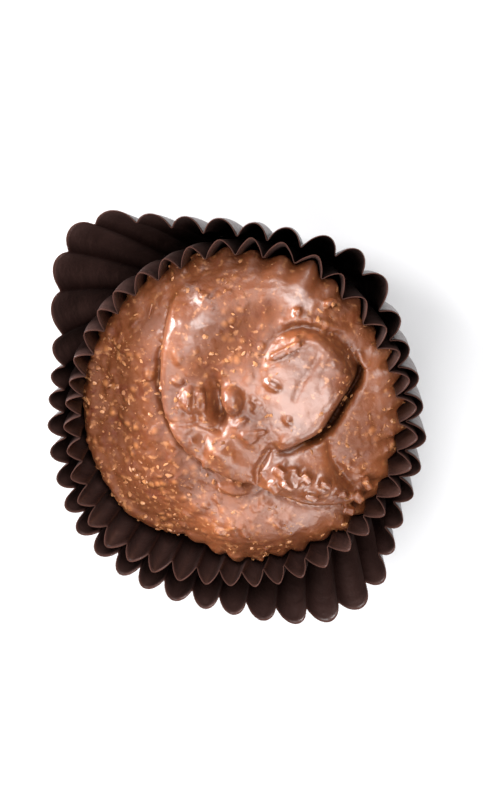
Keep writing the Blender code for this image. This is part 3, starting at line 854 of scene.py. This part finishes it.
def add_sliver(builder, start, stop, width, height):
    """A sliver of nut with blunt ends, laid on the pour and half sunk in it.

    Half the inner cup's width stands for the reach of the chocolate, which is more than it has.
    So a sliver stands higher the closer it is to the edge: the outermost ones by up to 1.4 mm.
    """
    ends = np.array((start, stop))
    inset = inner_cup.dimensions.x / MM * 0.5 - np.hypot(*ends.T)
    first, last = (Vector((x, y, z)) for (x, y), z in zip(ends, top_height(*ends.T, inset)))
    along = last - first
    size = Matrix.Diagonal((along.length, width, height * 2.0, 1.0))
    turned = along.to_track_quat("X", "Z").to_matrix().to_4x4()
    place = Matrix.Translation((first + last) * 0.5)
    scale = Matrix.Scale(MM, 4)
    made = bmesh.ops.create_cube(builder, size=1.0)
    bmesh.ops.transform(builder, matrix=scale @ place @ turned @ size, verts=made["verts"])


def mark_looks(thing):
    """Stores on every point of a mesh how nutty it is there, which also carries painted shade, and how
    deep in a crease it lies, which sets the painted shade in the creases.
    """
    count = len(thing.data.vertices)
    places = np.empty(count * 3)
    thing.data.vertices.foreach_get("co", places)
    x, y, _ = places.reshape(count, 3).T / MM
    amount = np.full(count, NUTS_AND_SHADE_EVERYWHERE)
    for centre_x, centre_y, half_width, more in NUTS_AND_SHADE_PATCHES:
        amount += more * np.exp(-((x - centre_x) ** 2 + (y - centre_y) ** 2) / half_width**2)
    depth = np.maximum(layer_shape(x, y, FOLD)[1], layer_shape(x, y, TONGUE)[1])
    nuts_and_shade = np.clip(amount, 0.0, NUTS_AND_SHADE_AT_MOST)
    creased = np.clip(depth / CREASE_DARK, 0.0, 1.0)
    for name, values in (("nuts_and_shade", nuts_and_shade), ("creased", creased)):
        marks = thing.data.attributes.new(name, "FLOAT", "POINT")
        marks.data.foreach_set("value", values)


chocolate = new_piece("chocolate_cluster")
builder = bmesh.new()
add_body(builder)
for sliver in SLIVERS:
    add_sliver(builder, *sliver)
bmesh.ops.recalc_face_normals(builder, faces=builder.faces)
builder.to_mesh(chocolate.data)
builder.free()
mark_looks(chocolate)


def named_value(tree, name):
    """What the mesh stores under a name, as a field."""
    node = tree.nodes.new("GeometryNodeInputNamedAttribute")
    node.data_type = "FLOAT"
    node.inputs["Name"].default_value = name
    return Field(tree, node.outputs[0])


def strewing_tree(name, keep_ground):
    """Strews chopped nuts on the upper side of a surface, each turned and sized at random."""
    tree, start, end, given = new_tree(
        name,
        per_square_mm="Float",
        least="Float",
        most="Float",
        sunk="Float",
        lowest="Float",
        seed="Int",
        coat="Material",
    )
    ground = start.outputs[0]
    points = chain(tree, ground, "GeometryNodeDistributePointsOnFaces")
    place = tree.nodes.new("GeometryNodeInputPosition")
    split = tree.nodes.new("ShaderNodeSeparateXYZ")
    tree.links.new(place.outputs[0], split.inputs[0])
    facing = tree.nodes.new("GeometryNodeInputNormal")
    level = tree.nodes.new("ShaderNodeSeparateXYZ")
    tree.links.new(facing.outputs[0], level.inputs[0])
    nuts_and_shade = named_value(tree, "nuts_and_shade")
    high = Field(tree, split.outputs["Z"]).math("GREATER_THAN", given["lowest"])
    upward = Field(tree, level.outputs["Z"]).math("GREATER_THAN", NUTS_UPWARD)
    patchy = ripple(tree, place.outputs[0], NUTS_PATCH_SCALE, 1.0) * NUTS_PATCH_STRENGTH + NUTS_PATCH_MEAN
    patchy = patchy.math("MAXIMUM", NUTS_PATCH_LEAST)
    per_square_metre = given["per_square_mm"] * high * upward * patchy * nuts_and_shade * 1.0e6
    tree.links.new(per_square_metre.socket, points.inputs["Density"])
    tree.links.new(given["seed"].socket, points.inputs["Seed"])

    chip = tree.nodes.new("GeometryNodeMeshIcoSphere")
    chip.inputs["Radius"].default_value = 0.5
    chip.inputs["Subdivisions"].default_value = 1
    strewn = chain(tree, points.outputs["Points"], "GeometryNodeInstanceOnPoints")
    tree.links.new(chip.outputs["Mesh"], strewn.inputs["Instance"])

    def chance(kind, low, high, offset):
        """A random value for each chip. Its own offset keeps a draw apart from the others."""
        node = tree.nodes.new("FunctionNodeRandomValue")
        node.data_type = kind
        sockets = [socket for socket in node.inputs if socket.enabled and socket.name in ("Min", "Max")]
        for socket, value in zip(sockets, (low, high)):
            socket.default_value = value
        seed = given["seed"] + offset
        tree.links.new(seed.socket, node.inputs["Seed"])
        return next(socket for socket in node.outputs if socket.enabled)

    small = Field(tree, chance("FLOAT", 0.0, 1.0, 11.0)) ** CHIP_SMALLNESS
    length = given["least"] + (given["most"] - given["least"]) * small
    slim = Field(tree, chance("FLOAT", *CHIP_WIDTH, 23.0))
    flat = Field(tree, chance("FLOAT", *CHIP_HEIGHT, 31.0))
    size = joined(tree, length, length * slim, length * flat)
    tree.links.new(size, strewn.inputs["Scale"])
    least_turn = (-CHIP_TILT, -CHIP_TILT, 0.0)
    most_turn = (CHIP_TILT, CHIP_TILT, math.tau)
    spin = chance("FLOAT_VECTOR", least_turn, most_turn, 47.0)
    turned = tree.nodes.new("FunctionNodeRotateRotation")
    turned.rotation_space = "LOCAL"
    tree.links.new(points.outputs["Rotation"], turned.inputs["Rotation"])
    tree.links.new(spin, turned.inputs["Rotate By"])
    tree.links.new(turned.outputs[0], strewn.inputs["Rotation"])
    tinted = chain(
        tree,
        strewn.outputs[0],
        "GeometryNodeStoreNamedAttribute",
        data_type="FLOAT",
        domain="INSTANCE",
    )
    tinted.inputs["Name"].default_value = "tint"
    tree.links.new(chance("FLOAT", 0.0, 1.0, 59.0), tinted.inputs["Value"])
    lowered = chain(tree, tinted.outputs[0], "GeometryNodeTranslateInstances")
    depth = length * flat * given["sunk"] * -1.0
    tree.links.new(joined(tree, 0.0, 0.0, depth), lowered.inputs["Translation"])
    real = chain(tree, lowered.outputs[0], "GeometryNodeRealizeInstances")
    craggy = chain(tree, real.outputs[0], "GeometryNodeSetPosition")
    rough = tree.nodes.new("ShaderNodeTexNoise")
    rough.inputs["Scale"].default_value = CHIP_BREAKAGE_SCALE
    rough.inputs["Detail"].default_value = 0.0
    shift = tree.nodes.new("ShaderNodeVectorMath")
    shift.operation = "MULTIPLY_ADD"
    tree.links.new(rough.outputs["Color"], shift.inputs[0])
    shift.inputs[1].default_value = (CHIP_BREAKAGE,) * 3
    shift.inputs[2].default_value = (CHIP_BREAKAGE * -0.5,) * 3
    tree.links.new(shift.outputs[0], craggy.inputs["Offset"])
    coated = chain(tree, craggy.outputs[0], "GeometryNodeSetMaterial")
    tree.links.new(given["coat"].socket, coated.inputs["Material"])
    outcome = coated.outputs[0]
    if keep_ground:
        join = tree.nodes.new("GeometryNodeJoinGeometry")
        tree.links.new(outcome, join.inputs[0])
        tree.links.new(ground, join.inputs[0])
        outcome = join.outputs[0]
    tree.links.new(outcome, end.inputs[0])
    return tree


def relief_tree():
    """Raises the skin over the fine grain of nut meal, most where it is nutty."""
    tree, start, end, given = new_tree("nut_meal_relief", swell="Float", grain="Float", fine="Float")
    place = tree.nodes.new("GeometryNodeInputPosition").outputs[0]
    facing = tree.nodes.new("GeometryNodeInputNormal").outputs[0]
    swell = ripple(tree, place, SWELL_SCALE, 1.0) * given["swell"]
    grain = ripple(tree, place, GRAIN_SCALE, 1.0) * given["grain"]
    fine = ripple(tree, place, FINE_SCALE, 1.0) * given["fine"]
    shown = named_value(tree, "nuts_and_shade") * GRAIN_MORE_ON_NUTTY + GRAIN_ON_PLAIN
    lift = swell + (grain + fine) * shown
    offset = tree.nodes.new("ShaderNodeVectorMath")
    offset.operation = "SCALE"
    tree.links.new(facing, offset.inputs[0])
    tree.links.new(lift.socket, offset.inputs["Scale"])
    shaped = chain(tree, start.outputs[0], "GeometryNodeSetPosition")
    tree.links.new(offset.outputs[0], shaped.inputs["Offset"])
    smooth = chain(tree, shaped.outputs[0], "GeometryNodeSetShadeSmooth")
    tree.links.new(smooth.outputs[0], end.inputs[0])
    return tree


def milk_chocolate():
    """Milk chocolate: satin, mottled where nut meal shows, darkened by painted shade where shade falls, a
    little light going into it.

    In the creases round the layers the dark is painted and the gloss taken away, as little
    light gets there.
    """
    paint = Paint("milk_chocolate")
    paint.shader.inputs["Subsurface Weight"].default_value = 0.1
    paint.shader.inputs["Subsurface Radius"].default_value = (1.0, 0.35, 0.15)
    paint.shader.inputs["Subsurface Scale"].default_value = 0.5 * MM
    paint.shader.inputs["IOR"].default_value = 1.58
    nuts_and_shade = paint.marked("nuts_and_shade")
    deep = paint.band(paint.marked("creased"), 0.1, 1.0, 0.0, 0.95)
    off_lump = paint.texture("ShaderNodeTexVoronoi", 900.0).outputs["Distance"]

    clouds = paint.band(paint.cloud(220.0, 3.0), 0.35, 0.65, 0.0, 1.0)
    brown = paint.blend(clouds, CHOCOLATE_DARK, CHOCOLATE_LIGHT)
    # Darker where nutty, and where shade is painted, most on the left side.
    brown = paint.blend(paint.band(nuts_and_shade, 0.3, 1.0, 0.0, 0.85), brown, CHOCOLATE_NUTTY_AND_SHADED)
    shows = paint.times(nuts_and_shade, paint.band(paint.cloud(500.0, 1.0), 0.45, 0.6, 0.0, 1.0))
    crests = paint.times(shows, paint.band(off_lump, 0.45, 0.1, 0.0, 0.75))
    brown = paint.blend(crests, brown, NUT_MEAL_CREST)
    gaps = paint.times(shows, paint.band(off_lump, 0.5, 0.75, 0.0, 0.7))
    brown = paint.blend(gaps, brown, NUT_MEAL_GAP)
    specks = paint.band(paint.cloud(1300.0, 2.0), 0.60, 0.72, 0.0, 0.5)
    brown = paint.blend(specks, brown, NUT_MEAL_SPECK)
    # Painted shade in the creases round the layers.
    paint.drive("Base Color", paint.blend(deep, brown, CHOCOLATE_CREASE_SHADE))

    paint.drive("Roughness", paint.band(nuts_and_shade, 0.1, 0.9, 0.36, 0.60))
    gloss = paint.band(nuts_and_shade, 0.1, 0.8, 1.0, 0.2)
    gloss_left = paint.band(deep, 0.0, 0.6, 1.0, 0.1)
    paint.drive("Specular IOR Level", paint.times(gloss, gloss_left))
    grain = paint.bump(paint.cloud(1100.0, 5.0), 0.25 * MM, paint.band(nuts_and_shade, 0.0, 1.0, 0.25, 0.8))
    domed = paint.times(shows, paint.band(off_lump, 0.0, 0.7, 1.0, 0.0))
    paint.drive("Normal", paint.bump(domed, 0.35 * MM, 0.7, under=grain))
    return paint.material


grow(
    chocolate,
    strewing_tree("buried_nuts", keep_ground=True),
    per_square_mm=0.5,
    least=0.7 * MM,
    most=1.8 * MM,
    sunk=0.3,
    lowest=14.5 * MM,
    seed=3,
)
skin = chocolate.modifiers.new("one skin", "REMESH")
skin.mode = "VOXEL"
skin.voxel_size = CHOCOLATE_VOXEL
melt = chocolate.modifiers.new("melted", "SMOOTH")
melt.factor = 0.5
melt.iterations = 1
settle(chocolate)
mark_looks(chocolate)

grow(chocolate, relief_tree(), swell=0.22 * MM, grain=0.16 * MM, fine=0.07 * MM)
chocolate.data.materials.clear()
chocolate.data.materials.append(milk_chocolate())
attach(chocolate, "root")
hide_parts("cluster")


# ---------------------------------------------------------------------------------------------
# The bare nut crumbs
# Chips of nut, under a millimetre long, that came up with the pour. They are sunk in its surface
# nearly to their tops, most of them where it is nutty, and some keep a thin coat of chocolate.

NUT_DARK = (0.25, 0.085, 0.030, 1.0)
NUT_LIGHT = (0.48, 0.21, 0.085, 1.0)


def nut_meat():
    """Chopped nut, tan to orange from chip to chip, a little glossy."""
    paint = Paint("chopped_nut")
    paint.shader.inputs["Roughness"].default_value = 0.35
    paint.drive("Base Color", paint.blend(paint.marked("tint"), NUT_DARK, NUT_LIGHT))
    return paint.material


nut_crumbs = new_piece("nut_crumbs", chocolate.data.copy())
grow(
    nut_crumbs,
    strewing_tree("bare_crumbs", keep_ground=False),
    per_square_mm=1.3,
    least=0.2 * MM,
    most=0.85 * MM,
    sunk=0.5,
    lowest=13.5 * MM,
    seed=8,
    coat=nut_meat(),
)
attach(nut_crumbs, "root")


# ---------------------------------------------------------------------------------------------
# The floor, the light and the camera
# A matt pale floor, four soft lamps placed to light the sweet as in the photo, and a camera high
# above it and to one side.

FLOOR_PALE = (0.62, 0.62, 0.63, 1.0)
LAMPS_AIM = Vector((0.0, 0.0, 0.015))
CAMERA_PLACE = Vector((48.26, 102.15, 315.0)) * MM
CAMERA_AIM = Vector((0.0, -0.3, 11.0)) * MM
STRAIGHT_DOWN = Vector((0.0, 0.0, -1.0))

floor_mesh = bpy.data.meshes.new("floor")
floor_mesh.from_pydata([(-1, -1, 0), (1, -1, 0), (1, 1, 0), (-1, 1, 0)], [], [(0, 1, 2, 3)])
floor = new_piece("floor", floor_mesh)
pale = Paint("pale_floor")
pale.shader.inputs["Base Color"].default_value = FLOOR_PALE
pale.shader.inputs["Roughness"].default_value = 0.6
floor_mesh.materials.append(pale.material)


def soft_lamp(name, place, side, power):
    """A square lamp that shines on the sweet."""
    light = bpy.data.lights.new(name, "AREA")
    light.shape = "SQUARE"
    light.size = side
    light.energy = power
    lamp = bpy.data.objects.new(name, light)
    bpy.context.scene.collection.objects.link(lamp)
    lamp.location = place
    lamp.rotation_euler = (LAMPS_AIM - Vector(place)).to_track_quat("-Z", "Y").to_euler()


soft_lamp("softbox", place=(0.12, 0.37, 0.47), side=0.36, power=4.0)
soft_lamp("overhead", place=(-0.10, -0.16, 0.56), side=0.36, power=3.0)
soft_lamp("low_window", place=(-0.52, 0.24, 0.16), side=0.28, power=10.0)
soft_lamp("bounce", place=(0.22, -0.44, 0.33), side=0.30, power=2.0)
world = bpy.data.worlds.new("studio")
world.use_nodes = True
world.node_tree.nodes["Background"].inputs["Color"].default_value = (1.0, 1.0, 1.0, 1.0)
world.node_tree.nodes["Background"].inputs["Strength"].default_value = 0.04
bpy.context.scene.world = world
bpy.context.scene.view_settings.view_transform = "Standard"

camera_data = bpy.data.cameras.new("camera")
camera = bpy.data.objects.new("camera", camera_data)
bpy.context.scene.collection.objects.link(camera)
camera.location = CAMERA_PLACE
camera.rotation_mode = "QUATERNION"
camera.rotation_quaternion = STRAIGHT_DOWN.rotation_difference(CAMERA_AIM - CAMERA_PLACE)
camera_data.lens = 132.0
camera_data.clip_start = 1.0 * MM
bpy.context.scene.camera = camera
